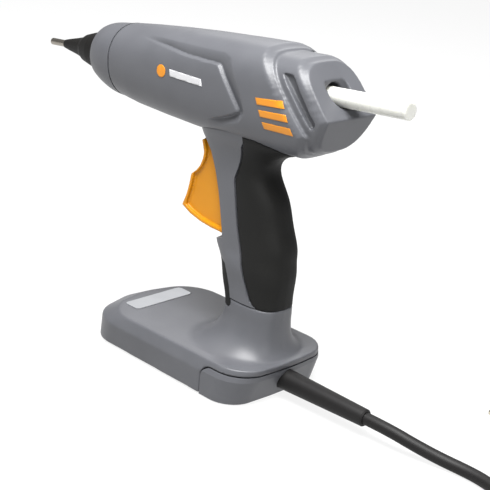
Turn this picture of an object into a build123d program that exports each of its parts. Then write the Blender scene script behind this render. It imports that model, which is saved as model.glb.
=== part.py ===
from build123d import *
from math import cos, pi, radians, sin, tan
import os

# A trigger-fed hot glue gun that stands on its own foot.
#
# Frame, in millimetres: +Z is up, the nozzle points to -X, the cord leaves to +X, and -Y is
# the gun's left side. The origin is the centre of the foot's underside.
#
# The barrel has a frame of its own, pitched nose down: s runs rearwards along the glue
# stick's axis, y is the row's Y, and h is the height above that axis.

# ---------------------------------------------------------------- driving dimensions
# Barrel
BARREL_PITCH = 5.31          # degrees, nozzle down
BARREL_X = 71.5              # where station s = 0 stands
BARREL_Z = 199.4
BARREL_WALL = 2.5
RING_FRONT = -187.0          # station of the front ring's front edge
RING_SEAM = -162.0           # joint between the front ring and the barrel shells
REAR_SLANT = 53.0            # degrees between the rear end's plane and the barrel axis
REAR_STATION = -6.5          # where the rear plane crosses the axis
SNOUT_LENGTH = 18.0          # how far the snout stands out of the rear plane
SNOUT_INSET = 4.2            # step from the barrel's side in to the snout's side
SNOUT_ROOT = -60.0           # the snout's form starts here, inside the barrel
UNDERCUT_POINT = (26.0, 0, -8.0)
UNDERCUT_LEAN = 28.0         # degrees that the snout's lower face leans forwards
UNDERCUT_STEP = 7.0          # from the snout's lower face in to the barrel's
ASSEMBLY_CLEARANCE = 0.15    # between the shells and what is slid into them
SEAM_GAP = 0.5               # visible line between two mouldings
SECTION_POINTS = 16          # points round a smooth section

# Glue stick and what it passes through
STICK_DIAMETER = 11.2
STICK_LENGTH = 200.0
STICK_TAIL = 65.0            # station of the stick's rear end
STICK_CLEARANCE = 0.4        # around the stick, in every bore
INLET_RADIUS = 7.4           # mouth in the snout

# Heating chamber and nozzle
CHAMBER_FRONT = -203.0
CHAMBER_REAR = -112.0
CHAMBER_RADIUS = 11.0
CHAMBER_NECK = 8.9
HEATER_FRONT = -165.0
HEATER_REAR = -125.0
HEATER_LOW = -17.5
HEATER_THICK = 3.0
CHAMBER_SUPPORTS = (-154.0, -119.0)
SLEEVE_REAR_RADIUS = 13.3
NOZZLE_TIP = -246.8
NOZZLE_RADIUS = 2.4
NOZZLE_HEX = 10.0            # across the flats
ORIFICE_RADIUS = 0.9

# Trigger
PIVOT_STATION = -66.1
PIVOT_HEIGHT = -30.4         # below the barrel axis
PIVOT_RADIUS = 2.0
TRIGGER_TRAVEL = 15.0        # degrees
TRIGGER_ARM = 25.0           # from the pivot up to the carriage's drive pins
TRIGGER_HALF_WIDTH = 9.8
TRIGGER_RIM_HALF_WIDTH = 12.3
RUNNING_CLEARANCE = 0.05     # radial, between a pin and its bore
PIN_HALF_LENGTH = 16.0
HUB_HALF_WIDTH = 12.4
ARM_INNER_Y = 10.2
CHANNEL_HALF_WIDTH = 12.8    # room for the trigger inside the handle
DRIVE_PIN_RADIUS = 1.8

# Feed mechanism, in barrel stations
GUIDE_FRONT = -88.0
GUIDE_REAR = -34.0
PLATE_THICK = 3.0
ROD_RADIUS = 2.0
ROD_Y = 13.2
ROD_HEIGHT = 9.5
CARRIAGE_FRONT = -72.0
CARRIAGE_REAR = -46.0
JAW_STATION = -52.0
JAW_HEIGHT = -9.8
JAW_HALF_WIDTH = 4.0
JAW_TEETH = 3
SPRING_RADIUS = 3.0
SPRING_TURNS = 7

# Handle
GRIP_THICKNESS = 2.2
HANDLE_WALL = 2.3
HANDLE_SEAM_Z = 57.5

# Foot
FOOT_WALL_Z = 1.0            # the wall ends this far above the surface, behind the sole
FOOT_EDGE_Z = 17.4
FOOT_TOP_Z = 25.4
FOOT_WALL = 2.6
REAR_COVER_X = 39.5
REAR_COVER_Z = 20.8
SOLE_THICKNESS = 1.0
SOLE_INSET = 6.0
RATING_X = -46.0
CLAMP_X = 52.0
CLAMP_HALF_WIDTH = 14.0
CLAMP_SCREW_Y = 9.5
CLAMP_HEIGHT = 7.0
BASE_THICKNESS = 2.5

# Mains cord
CORD_DIAMETER = 8.0
CORD_Z = 12.4
RELIEF_LENGTH = 67.0
RELIEF_RADIUS = 7.0
RELIEF_END_RADIUS = 5.6
RELIEF_ROOT_X = 71.5         # where the strain relief comes out of the rear cover
FLANGE_X = 66.6
CABLE_INNER_X = 34.0
COIL_CENTRE = (278.0, 40.0)
COIL_MEAN_RADIUS = 42.0
COIL_TURNS_WIDE = 3
COIL_LAYERS = 2
PLUG_BACK = (229.0, 91.5)   # where the plug's body meets its strain relief
PLUG_LENGTH = 34.0
PLUG_NECK = 18.0
PLUG_WIDTH = 35.0
PLUG_THICK = 18.0
PLUG_PIN_RADIUS = 2.4
PLUG_PIN_SPACING = 19.0
PLUG_PIN_LENGTH = 19.0

# Fasteners
SCREW_RADIUS = 1.5
SCREW_HEAD_RADIUS = 3.0
SCREW_HEAD_HEIGHT = 2.2
BOSS_RADIUS = 3.8

CORD_EXIT_X = RELIEF_ROOT_X + RELIEF_LENGTH
DRIVE_HEIGHT = PIVOT_HEIGHT + TRIGGER_ARM
DRIVE_STATION = PIVOT_STATION + TRIGGER_ARM * tan(radians(TRIGGER_TRAVEL / 2))
DRIVE_PIN_END = HUB_HALF_WIDTH
STICK_RADIUS = STICK_DIAMETER / 2
BORE_RADIUS = STICK_RADIUS + STICK_CLEARANCE
BARREL = Location((BARREL_X, 0, BARREL_Z), (0, -BARREL_PITCH, 0))
FAR = 400.0                  # larger than the whole gun, for cutting tools

NODES = {}


# ---------------------------------------------------------------- helpers
def power(value, exponent):
    """A signed power, for superellipses."""
    return (1 if value >= 0 else -1) * abs(value) ** exponent


def barrel_ring(station, top, bottom, half, roundness, inset=0.0, points=SECTION_POINTS):
    """A closed smooth section of the barrel, square to its axis."""
    outline = []
    for k in range(points):
        angle = 2 * pi * k / points
        y = (half - inset) * power(cos(angle), 2 / roundness)
        reach = top if sin(angle) >= 0 else bottom
        outline.append((station, y, (reach - inset) * power(sin(angle), 2 / roundness)))
    return Wire([Spline(*outline, periodic=True)])


def level_ring(z, front, rear, half, roundness, inset=0.0, points=SECTION_POINTS):
    """A closed smooth level section of the handle."""
    middle = (front + rear) / 2
    reach = (rear - front) / 2 - inset
    outline = []
    for k in range(points):
        angle = 2 * pi * k / points
        x = middle + reach * power(cos(angle), 2 / roundness)
        outline.append((x, (half - inset) * power(sin(angle), 2 / roundness), z))
    return Wire([Spline(*outline, periodic=True)])


def turned(profile):
    """A solid of revolution about the barrel axis, from (station, radius) pairs."""
    face = Face(Wire.make_polygon([(s, 0, r) for s, r in profile]))
    return revolve(face, Axis.X)


def rod(start, end, radius):
    """A round bar between two points."""
    axis = Vector(*end) - Vector(*start)
    return Solid.make_cylinder(radius, axis.length, Plane(origin=start, z_dir=axis))


def slab(low, high):
    """A box from its lowest to its highest corner."""
    size = [b - a for a, b in zip(low, high)]
    middle = [(a + b) / 2 for a, b in zip(low, high)]
    return Pos(*middle) * Box(*size)


def side_plate(outline, low_y, high_y):
    """An outline of (x, z) pairs drawn in the side view, given a width across Y."""
    face = Face(Wire.make_polygon([(x, low_y, z) for x, z in outline]))
    return extrude(face, high_y - low_y, dir=(0, 1, 0))


def barrel_point(station, y, height):
    """A place given in the barrel's frame, in the row's frame."""
    return (BARREL * Pos(station, y, height)).position


def left_of(shape):
    """The half on the gun's left side."""
    return shape & slab((-FAR, -FAR, -FAR), (FAR, 0, FAR))


def both_sides(shape):
    """The left half of a shape and its mirror image, as one solid."""
    half = left_of(shape)
    return half + mirror(half, Plane.XZ)


def side_screw(x, z, head_y, tip_y):
    """A pan-head screw along Y, its head on the gun's right side."""
    shank = rod((x, tip_y, z), (x, head_y, z), SCREW_RADIUS)
    head = rod((x, head_y, z), (x, head_y + SCREW_HEAD_HEIGHT, z), SCREW_HEAD_RADIUS)
    driver = rod((x, head_y + 1.0, z), (x, head_y + FAR, z), 1.1)
    return shank + head - driver


def screw_hole(x, z, head_y, tip_y):
    """The room a side screw takes, with an open way to its head."""
    shank = rod((x, tip_y, z), (x, head_y, z), SCREW_RADIUS)
    return shank + rod((x, head_y, z), (x, FAR, z), SCREW_HEAD_RADIUS + 0.4)


# ---------------------------------------------------------------- barrel outline
# station, top, bottom, half width, roundness
BARREL_SECTIONS = [
    (RING_SEAM, 22.8, 26.2, 24.3, 2.1),
    (-145, 24.0, 29.2, 26.0, 2.2),
    (-118, 25.3, 32.0, 27.6, 2.4),
    (-90, 26.1, 34.5, 28.6, 2.6),
    (-50, 26.5, 37.0, 29.3, 2.8),
    (-10, 26.5, 39.0, 29.6, 2.9),
    (40, 26.5, 40.0, 29.6, 2.9),
]
RING_SECTIONS = [
    (RING_FRONT, 18.2, 18.4, 18.2, 2.0),
    (-182, 20.3, 21.0, 20.4, 2.0),
    (-174, 21.6, 24.2, 22.6, 2.05),
    (RING_SEAM - SEAM_GAP, 22.8, 26.2, 24.3, 2.1),
]


def barrel_loft(sections, inset=0.0):
    """The barrel's form through a list of sections, at one inset from its outside."""
    return Solid.make_loft([barrel_ring(*section, inset=inset) for section in sections])


def before_plane(shape, point, lean, offset):
    """What lies in front of a plane across the barrel, square to the direction lean."""
    normal = Vector(cos(radians(lean)), 0, sin(radians(lean)))
    plane = Plane(origin=Vector(*point) + normal * offset, x_dir=(0, 1, 0), z_dir=normal)
    return shape.split(plane, keep=Keep.BOTTOM)


def behind_front(shape, station):
    """What lies behind a station of the barrel."""
    return shape & slab((station, -FAR, -FAR), (FAR, FAR, FAR))


def barrel_form(inset, depth):
    """The barrel with its snout, drawn in from its outside by inset and depth at the rear."""
    rear_point = (REAR_STATION, 0, 0)
    body = barrel_loft(BARREL_SECTIONS, inset)
    body = before_plane(body, rear_point, 90 - REAR_SLANT, -depth)
    body = before_plane(body, UNDERCUT_POINT, -UNDERCUT_LEAN, -UNDERCUT_STEP - depth)
    snout = behind_front(barrel_loft(BARREL_SECTIONS, SNOUT_INSET + inset), SNOUT_ROOT)
    snout = before_plane(snout, rear_point, 90 - REAR_SLANT, SNOUT_LENGTH - depth)
    snout = before_plane(snout, UNDERCUT_POINT, -UNDERCUT_LEAN, -depth)
    return body + snout


# ---------------------------------------------------------------- handle outline
# z, front, rear, half width, roundness
HANDLE_SECTIONS = [
    (FOOT_TOP_Z - 1.4, -3.0, 72.0, 39.0, 2.3),
    (27.5, 6.0, 69.6, 30.5, 2.3),
    (32.0, 13.0, 67.0, 24.5, 2.4),
    (39.0, 18.6, 65.4, 19.6, 2.6),
    (48.0, 21.6, 64.8, 17.6, 2.7),
    (HANDLE_SEAM_Z, 20.0, 64.6, 17.0, 2.7),
    (70.0, 15.5, 65.0, 17.0, 2.7),
    (88.0, 8.0, 64.2, 16.8, 2.8),
    (104.0, 5.0, 60.4, 16.4, 2.8),
    (120.0, 1.5, 54.4, 16.0, 2.8),
    (134.0, -3.0, 45.8, 15.8, 2.8),
    (146.0, -8.5, 42.6, 16.2, 2.8),
    (154.0, -13.0, 52.0, 18.0, 2.7),
    (161.0, -17.0, 70.0, 21.0, 2.6),
    (168.0, -20.0, 80.0, 23.0, 2.5),
]


def handle_form(inset=0.0):
    """The handle from the foot's top up into the barrel, solid."""
    return Solid.make_loft([level_ring(*section, inset=inset) for section in HANDLE_SECTIONS])


def grip_zone(low_y, high_y):
    """The part of the handle that the soft grip wraps, as seen from the side."""
    outline = [
        (32.2, 170), (32.2, 161), (29.4, 157.1), (27.4, 148.1), (24.1, 136.1), (24.1, 132.9),
        (28.0, 115.6), (31.5, 103.5), (37.7, 85.4), (42.1, 73.4), (46.0, 64.5), (48.3, 60.6),
        (54.9, 57.0), (100, 57.0), (100, 170),
    ]
    return side_plate(outline, low_y, high_y)


def insert_zone(low_y, high_y):
    """The part of the handle's front that the lower insert covers."""
    outline = [
        (-10, 80.7), (19.7, 80.7), (24.4, 78.9), (27.1, 72.9), (30.0, 65.0), (32.7, 55.6),
        (33.2, 53.2), (31.1, 51.6), (-10, 51.6),
    ]
    return side_plate(outline, low_y, high_y)


def trigger_mouth():
    """The open front of the handle and the channel that the trigger moves in."""
    front = side_plate([
        (-60, 89.5), (8.0, 89.5), (18.6, 94.0), (18.6, 97.4), (14.5, 110.9), (10.9, 123.2),
        (6.6, 135.2), (1.3, 146.9), (-4.9, 153.7), (-9.0, 156.0), (-60, 156.0),
    ], -FAR, FAR)
    channel = side_plate([
        (-40, 93.8), (38, 93.8), (38, 116), (26, 140), (22, 175), (-40, 175),
    ], -CHANNEL_HALF_WIDTH, CHANNEL_HALF_WIDTH)
    return front + channel


# ---------------------------------------------------------------- foot outline
# x, y and corner radius of half of each level outline, from the rear round to the nose
FOOT_BOTTOM = [(68.4, 8, 50), (66.6, 45.2, 18), (-68.0, 41.0, 22), (-72.8, 6, 30)]
FOOT_EDGE = [(74.2, 8, 60), (71.4, 45.0, 21), (-65.0, 44.8, 30), (-75.3, 4, 28)]
FOOT_CREASE = [(75.0, 8, 60), (72.6, 42.2, 21), (-52.0, 41.8, 27), (-60.0, 6, 40)]


def foot_ring(half, z, inset=0.0):
    """A closed level outline of the foot, drawn in from its outside by an inset."""
    drawn_in = []
    for k, (x, y, radius) in enumerate(half):
        corner = 0 < k < len(half) - 1
        x = x - inset if x > 0 else x + inset
        drawn_in.append((x, y - inset if corner else y, radius - inset))
    whole = [(x, -y, r) for x, y, r in drawn_in] + drawn_in[::-1]
    points = [(x, y, z) for x, y, _ in whole]
    return Wire(FilletPolyline(*points, radius=[r for _, _, r in whole], close=True).edges())


def foot_form(inset, low, high):
    """The foot's body, solid, between two heights, drawn in by an inset."""
    rings = [
        foot_ring(FOOT_BOTTOM, low, inset),
        foot_ring(FOOT_EDGE, FOOT_EDGE_Z, inset),
        foot_ring(FOOT_CREASE, high, inset),
    ]
    return Solid.make_loft(rings, ruled=True)


def rear_cover_zone(gap):
    """Where the removable rear cover is, with a gap all round it."""
    length, height = 100 + 2 * gap, 2 * REAR_COVER_Z + 2 * gap
    outline = Pos(REAR_COVER_X + 50, 0) * RectangleRounded(length, height, 7)
    return extrude(Plane.XZ * outline, FAR, both=True)


# ---------------------------------------------------------------- housing parts
BARREL_SCREWS = [(-142.0, 17.0), (-98.0, -24.5), (-22.0, 17.5), (0.0, -27.5)]
BARREL_SCREW_HEAD_Y = 16.0
BARREL_SCREW_TIP_Y = -14.0
HANDLE_SCREWS = [(34.5, 67.0), (31.5, 85.5)]
HANDLE_SCREW_HEAD_Y = 10.5
HANDLE_SCREW_TIP_Y = -11.0


def side_bosses(places, room):
    """Screw bosses right across the housing, kept inside the given room."""
    posts = [rod((x, -FAR / 10, z), (x, FAR / 10, z), BOSS_RADIUS) for x, z in places]
    return [post & room for post in posts]


def side_screws(places, head_y, tip_y):
    """One pan-head screw at each place."""
    return [side_screw(x, z, head_y, tip_y) for x, z in places]


def barrel_shell():
    """The left barrel shell, and the barrel's outside that the handle is cut to."""
    outside = barrel_form(0.0, 0.0)
    inside = barrel_form(BARREL_WALL, BARREL_WALL)
    wall = left_of(outside) - left_of(inside)
    for boss in side_bosses(BARREL_SCREWS, left_of(inside)):
        wall = wall + boss
    pivot_boss = rod((PIVOT_STATION, -FAR / 10, PIVOT_HEIGHT),
                     (PIVOT_STATION, -CHANNEL_HALF_WIDTH, PIVOT_HEIGHT), PIVOT_RADIUS + 2.5)
    wall = wall + (pivot_boss & left_of(inside))
    wall = wall - slab((-84, -CHANNEL_HALF_WIDTH, -60), (-30, CHANNEL_HALF_WIDTH, -20))
    wall = wall - rod((-20, 0, 1.2), (60, 0, 1.2), INLET_RADIUS)
    wall = wall - pivot_pin(0.0)
    return wall, outside


def pivot_pin(play):
    """The trigger's pin, or its hole when given some play."""
    return rod((PIVOT_STATION, -PIN_HALF_LENGTH, PIVOT_HEIGHT),
               (PIVOT_STATION, PIN_HALF_LENGTH, PIVOT_HEIGHT), PIVOT_RADIUS + play)


def front_ring():
    """The front ring, with a spigot that plugs into the barrel shells."""
    outer = barrel_loft(RING_SECTIONS)
    outer = fillet(outer.edges().group_by(Axis.X)[0], 2.0)
    inner = [
        (station, top - BARREL_WALL, bottom - BARREL_WALL, half - BARREL_WALL, roundness)
        for station, top, bottom, half, roundness in RING_SECTIONS
    ]
    inner[0] = (RING_FRONT + 3.0,) + inner[0][1:]
    mouth = rod((RING_FRONT - 5, 0, 0), (RING_FRONT + 5, 0, 0), SLEEVE_REAR_RADIUS + 0.8)
    room = barrel_loft(BARREL_SECTIONS, BARREL_WALL + ASSEMBLY_CLEARANCE)
    spigot = room & slab((RING_SEAM, -FAR, -FAR), (RING_SEAM + 6, FAR, FAR))
    bore = inner[-1][:1] + tuple(v - 2.0 for v in inner[-1][1:4]) + inner[-1][4:]
    core = Solid.make_loft([
        barrel_ring(RING_SEAM - 4, *bore[1:]),
        barrel_ring(RING_SEAM + 9, *bore[1:]),
    ])
    collar = Solid.make_loft([
        barrel_ring(RING_SEAM - 4, *inner[-1][1:]),
        barrel_ring(RING_SEAM + 0.1, *inner[-1][1:]),
    ])
    return outer - barrel_loft(inner) - mouth + (spigot + collar - core)


def barrel_room():
    """The barrel's inside with an assembly clearance, for plates that stand across it."""
    return both_sides(barrel_loft(BARREL_SECTIONS, BARREL_WALL + ASSEMBLY_CLEARANCE))


# ---------------------------------------------------------------- nozzle and heating
def nozzle():
    """Screwed-in nozzle: a thin tip, a hexagon and a threaded root."""
    tip = turned([(NOZZLE_TIP, ORIFICE_RADIUS), (NOZZLE_TIP, NOZZLE_RADIUS - 0.3),
                  (NOZZLE_TIP + 0.6, NOZZLE_RADIUS), (-226, NOZZLE_RADIUS), (-219, 4.2),
                  (-216, 4.2), (-216, ORIFICE_RADIUS)])
    flats = RegularPolygon(NOZZLE_HEX / 2, 6, major_radius=False)
    hexagon = extrude(Plane.YZ.offset(-216) * flats, 7)
    root = turned([(-209, 0), (-209, 4.0), (-197, 4.0), (-197, 0)])
    passage = turned([(-217, 0), (-217, ORIFICE_RADIUS), (-212, 2.2), (-190, 2.2), (-190, 0)])
    return tip + hexagon + root - passage


def nozzle_sleeve():
    """Silicone sleeve over the nozzle and the chamber's neck."""
    return turned([
        (-232, NOZZLE_RADIUS), (-232, 3.0), (-228, 3.9), (-218, 5.9), (-212.5, 7.2),
        (-208, 9.6), (-200, 11.8), (-190, SLEEVE_REAR_RADIUS - 0.3), (-182, SLEEVE_REAR_RADIUS),
        (-182, CHAMBER_NECK), (CHAMBER_FRONT, CHAMBER_NECK), (CHAMBER_FRONT - 1, 6.2),
        (-217, 6.0 - 0.4), (-219, 4.4), (-226, NOZZLE_RADIUS),
    ])


def heating_chamber():
    """Cast aluminium melting chamber with a seat for the heater underneath."""
    body = turned([
        (CHAMBER_FRONT, 0), (CHAMBER_FRONT, CHAMBER_NECK), (-182, CHAMBER_NECK),
        (-182, CHAMBER_RADIUS), (CHAMBER_REAR, CHAMBER_RADIUS), (CHAMBER_REAR, 0),
    ])
    seat = slab((HEATER_FRONT - 3, -9, HEATER_LOW - 2), (HEATER_REAR + 3, 9, -6))
    bore = turned([
        (-197, 0), (-197, 2.2), (-188, BORE_RADIUS), (CHAMBER_REAR, BORE_RADIUS), (CHAMBER_REAR, 0),
    ])
    thread = rod((CHAMBER_FRONT - 1, 0, 0), (-197, 0, 0), 4.0)
    pocket = slab((HEATER_FRONT, -20, HEATER_LOW), (HEATER_REAR, 20, HEATER_LOW + HEATER_THICK))
    return body + seat - bore - thread - pocket


def heater():
    """Flat heating element pressed into the chamber's seat."""
    return slab((HEATER_FRONT, -8.5, HEATER_LOW), (HEATER_REAR, 8.5, HEATER_LOW + HEATER_THICK))


def thermal_cutout():
    """Safety cutout strapped to the top of the chamber."""
    can = rod((-172, 0, CHAMBER_RADIUS + 2.6), (-158, 0, CHAMBER_RADIUS + 2.6), 2.6)
    strap = turned([(-167, CHAMBER_RADIUS), (-167, CHAMBER_RADIUS + 0.6),
                    (-163, CHAMBER_RADIUS + 0.6), (-163, CHAMBER_RADIUS)])
    return can, strap - seat_room() - can


def seat_room():
    """The space under the chamber that its heater seat takes."""
    return slab((HEATER_FRONT - 4, -9.6, -FAR / 10), (HEATER_REAR + 4, 9.6, 0))


def chamber_supports():
    """Two insulating plates that carry the chamber inside the shells."""
    plates = []
    for station in CHAMBER_SUPPORTS:
        plate = barrel_room() & slab((station, -FAR, -FAR), (station + 2.5, FAR, FAR))
        plate = plate - rod((-250, 0, 0), (0, 0, 0), CHAMBER_RADIUS) - seat_room()
        plates.append(plate - slab((-250, 8, -24), (0, FAR, -9)))
    return plates


def inlet_sleeve():
    """Silicone tube that seals the stick's way into the chamber."""
    return turned([
        (CHAMBER_REAR, BORE_RADIUS), (CHAMBER_REAR, 9.6), (-106, 9.6), (-104, 8.0),
        (GUIDE_FRONT, 8.0), (GUIDE_FRONT, BORE_RADIUS),
    ])


def sleeve_clip():
    """Wire clip round the inlet sleeve."""
    return turned([(-101.5, 8.0), (-101.5, 9.0), (-99.5, 9.0), (-99.5, 8.0)])


# ---------------------------------------------------------------- feed mechanism
def guide_plate(station):
    """A plate across the barrel that holds the guide rods and lets the stick through."""
    plate = barrel_room() & slab((station, -FAR, -9.5), (station + PLATE_THICK, FAR, FAR))
    plate = plate - rod((station - 5, 0, 0), (station + 10, 0, 0), BORE_RADIUS + 0.3)
    for rail in guide_rods():
        plate = plate - rail
    return plate


def guide_rods():
    """The two steel rods that the carriage runs on."""
    end = GUIDE_REAR + PLATE_THICK
    return [
        rod((GUIDE_FRONT, y, ROD_HEIGHT), (end, y, ROD_HEIGHT), ROD_RADIUS) for y in (-ROD_Y, ROD_Y)
    ]


def feed_carriage():
    """The block round the stick that the trigger pushes forwards."""
    block = slab((CARRIAGE_FRONT, -9.5, -12.0), (CARRIAGE_REAR, 9.5, 9.5))
    ears = slab((CARRIAGE_FRONT + 8, -ROD_Y - 4, ROD_HEIGHT - 4),
                (CARRIAGE_REAR, ROD_Y + 4, ROD_HEIGHT + 4))
    pins = rod((DRIVE_STATION, -DRIVE_PIN_END, DRIVE_HEIGHT),
               (DRIVE_STATION, DRIVE_PIN_END, DRIVE_HEIGHT), DRIVE_PIN_RADIUS)
    body = block + ears + pins
    body = body - rod((CARRIAGE_FRONT - 5, 0, 0), (CARRIAGE_REAR + 5, 0, 0), BORE_RADIUS + 0.2)
    for side in (-1, 1):
        body = body - rod((-140, side * ROD_Y, ROD_HEIGHT), (0, side * ROD_Y, ROD_HEIGHT),
                          ROD_RADIUS + RUNNING_CLEARANCE)
    room = JAW_HALF_WIDTH + 0.4
    body = body - slab((JAW_STATION - 13, -room, -20), (JAW_STATION + 5, room, 0))
    return body - jaw_pin(0.0)


def jaw_pin(play):
    """The pin that the gripping jaw tips on."""
    return rod((JAW_STATION, -8.0, JAW_HEIGHT), (JAW_STATION, 8.0, JAW_HEIGHT), 1.25 + play)


def gripping_jaw():
    """Toothed lever that bites the stick from below."""
    s, h = JAW_STATION, JAW_HEIGHT
    outline = [(s + 3, h - 3), (s + 3, h + 1)]
    top = -STICK_RADIUS - 0.9
    for tooth in range(JAW_TEETH):
        outline.append((s - 2.5 - 2.0 * tooth, top - 1.0))
        outline.append((s - 4.2 - 2.0 * tooth, top))
    outline += [(s - 3 - 2.0 * JAW_TEETH, top - 2.4), (s - 4, h - 3)]
    return side_plate(outline, -JAW_HALF_WIDTH, JAW_HALF_WIDTH) - jaw_pin(RUNNING_CLEARANCE)


def return_springs():
    """Compression springs on the rods, ahead of the carriage."""
    length = CARRIAGE_FRONT + 8 - GUIDE_FRONT - PLATE_THICK
    pitch = length / SPRING_TURNS
    coils = []
    for side in (-1, 1):
        path = Helix(pitch=pitch, height=length - 2.4, radius=SPRING_RADIUS)
        wire = Plane(origin=path @ 0, z_dir=path % 0) * Circle(0.45)
        coil = sweep(wire, path=path, is_frenet=True)
        turn = Location((GUIDE_FRONT + PLATE_THICK + 1.2, side * ROD_Y, ROD_HEIGHT), (0, 90, 0))
        coils.append(turn * coil)
    return coils


def glue_stick():
    """The stick of hot-melt glue in the gun."""
    front = STICK_TAIL - STICK_LENGTH
    stick = rod((front, 0, 0), (STICK_TAIL, 0, 0), STICK_RADIUS)
    return chamfer(stick.edges(), 0.4)


# ---------------------------------------------------------------- trigger
TRIGGER_FRONT = [
    (-8.2, 153.6), (-10.0, 150.7), (-8.6, 147.1), (-7.3, 143.0), (-7.6, 138.8), (-9.4, 133.6),
    (-12.5, 129.4), (-16.4, 126.1), (-17.0, 121.3), (-17.9, 115.6), (-19.2, 110.4), (-21.8, 103.4),
]
TRIGGER_BOTTOM = [(-13.9, 99.6), (-4.3, 97.1), (5.0, 95.9), (15.7, 95.4)]
TRIGGER_REAR = [(19.0, 97.2), (16.0, 115.0), (14.0, 135.0), (13.5, 158.0), (4.0, 160.0), (-3.0, 157.2)]


def trigger():
    """The trigger: a hollow-sided blade with a rim, a hub and two drive arms."""
    blade = side_plate(TRIGGER_FRONT + TRIGGER_BOTTOM + TRIGGER_REAR,
                       -TRIGGER_HALF_WIDTH, TRIGGER_HALF_WIDTH)
    line = TRIGGER_FRONT[1:] + TRIGGER_BOTTOM
    inner = [(x + 2.2, z + 0.9) for x, z in TRIGGER_FRONT[1:-1]]
    inner += [(-18.6, 104.6), (-13.0, 102.0), (-3.8, 99.5), (5.2, 98.3), (15.7, 97.8)]
    rim = side_plate(line + inner[::-1], -TRIGGER_RIM_HALF_WIDTH, TRIGGER_RIM_HALF_WIDTH)
    pivot = barrel_point(PIVOT_STATION, 0, PIVOT_HEIGHT)
    hub = rod((pivot.X, -HUB_HALF_WIDTH, pivot.Z), (pivot.X, HUB_HALF_WIDTH, pivot.Z), 5.5)
    bore = rod((pivot.X, -20, pivot.Z), (pivot.X, 20, pivot.Z), PIVOT_RADIUS + RUNNING_CLEARANCE)
    return blade + rim + hub + trigger_arms() - bore


def trigger_arms():
    """Two forked arms up to the carriage's drive pins, leaning back by half the travel."""
    arms = slab((-3.6, ARM_INNER_Y, 0), (3.6, HUB_HALF_WIDTH, TRIGGER_ARM + 3.5))
    slot = slab((-DRIVE_PIN_RADIUS - 0.3, 0, TRIGGER_ARM - 3.2),
                (DRIVE_PIN_RADIUS + 0.3, 20, TRIGGER_ARM + 10))
    arm = arms - slot
    arm = arm + mirror(arm, Plane.XZ)
    lean = Location((PIVOT_STATION, 0, PIVOT_HEIGHT), (0, TRIGGER_TRAVEL / 2, 0))
    return BARREL * (lean * arm)


# ---------------------------------------------------------------- handle parts
def handle_parts(barrel_outside):
    """Left handle shell, soft grip and lower front insert."""
    form = left_of(handle_form()) - left_of(barrel_outside)
    skin = form - left_of(handle_form(GRIP_THICKNESS))
    inside = left_of(handle_form(GRIP_THICKNESS + HANDLE_WALL))
    grip = skin & grip_zone(-FAR, 0)
    insert = skin & insert_zone(-FAR, 0)
    core = form - inside
    bosses = side_bosses(HANDLE_SCREWS, left_of(handle_form(GRIP_THICKNESS)))
    for boss in bosses:
        core = core + boss
    core = core - grip_zone(-FAR, 0).intersect(skin) - insert
    return form, core, grip, insert


# ---------------------------------------------------------------- foot parts
NECK_OPENING_LOW = (8.0, -24.0, FOOT_TOP_Z - 6.0)
NECK_OPENING_HIGH = (60.0, 24.0, FOOT_TOP_Z - 0.9)
FOOT_SCREWS = [(-50.0, -27.0), (-50.0, 27.0), (58.0, -26.0), (58.0, 26.0)]


def foot_posts(radius, low, high):
    """One upright round bar at each of the foot's screws."""
    return [rod((x, y, low), (x, y, high), radius) for x, y in FOOT_SCREWS]


def foot_base():
    """Bottom plate, with the saddle that the cord is clamped on."""
    low, high = FOOT_WALL_Z, FOOT_WALL_Z + BASE_THICKNESS
    outline = Face(foot_ring(FOOT_BOTTOM, low, FOOT_WALL + 0.15))
    plate = extrude(outline, BASE_THICKNESS, dir=(0, 0, 1))
    saddle = slab((CLAMP_X - 5, -CLAMP_HALF_WIDTH, high),
                  (CLAMP_X + 5, CLAMP_HALF_WIDTH, CORD_Z - 0.5))
    plate = plate + saddle - rod((CLAMP_X - 9, 0, CORD_Z), (CLAMP_X + 9, 0, CORD_Z), CORD_DIAMETER / 2)
    for bar in clamp_screws() + foot_screws():
        plate = plate - bar
    for hole in foot_posts(SCREW_HEAD_RADIUS + 0.3, low - 1, low + 1.2):
        plate = plate - hole
    return plate


def sole():
    """Anti-slip sole under the bottom plate, the gun's only contact with the surface."""
    outline = Face(foot_ring(FOOT_BOTTOM, 0, SOLE_INSET))
    pad = extrude(outline, SOLE_THICKNESS, dir=(0, 0, 1))
    for hole in foot_posts(SCREW_HEAD_RADIUS + 0.8, -1, 2):
        pad = pad - hole
    return pad


def foot_screws():
    """Four screws up through the bottom plate."""
    seat = FOOT_WALL_Z + 1.2
    shanks = foot_posts(SCREW_RADIUS, seat, seat + 12)
    heads = foot_posts(SCREW_HEAD_RADIUS, seat - 1.1, seat)
    return [shank + head for shank, head in zip(shanks, heads)]


def clamp_screws():
    """Two screws that pull the cord clamp down."""
    top = CORD_Z + CLAMP_HEIGHT
    screws = []
    for y in (-CLAMP_SCREW_Y, CLAMP_SCREW_Y):
        shank = rod((CLAMP_X, y, FOOT_WALL_Z + 1.5), (CLAMP_X, y, top), SCREW_RADIUS)
        head = rod((CLAMP_X, y, top), (CLAMP_X, y, top + 2), SCREW_HEAD_RADIUS)
        screws.append(shank + head)
    return screws


def cord_clamp():
    """Bar that holds the cord down on its saddle."""
    bar = slab((CLAMP_X - 4, -CLAMP_HALF_WIDTH, CORD_Z + 0.5),
               (CLAMP_X + 4, CLAMP_HALF_WIDTH, CORD_Z + CLAMP_HEIGHT))
    bar = bar - rod((CLAMP_X - 9, 0, CORD_Z), (CLAMP_X + 9, 0, CORD_Z), CORD_DIAMETER / 2)
    for screw in clamp_screws():
        bar = bar - screw
    return bar


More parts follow.
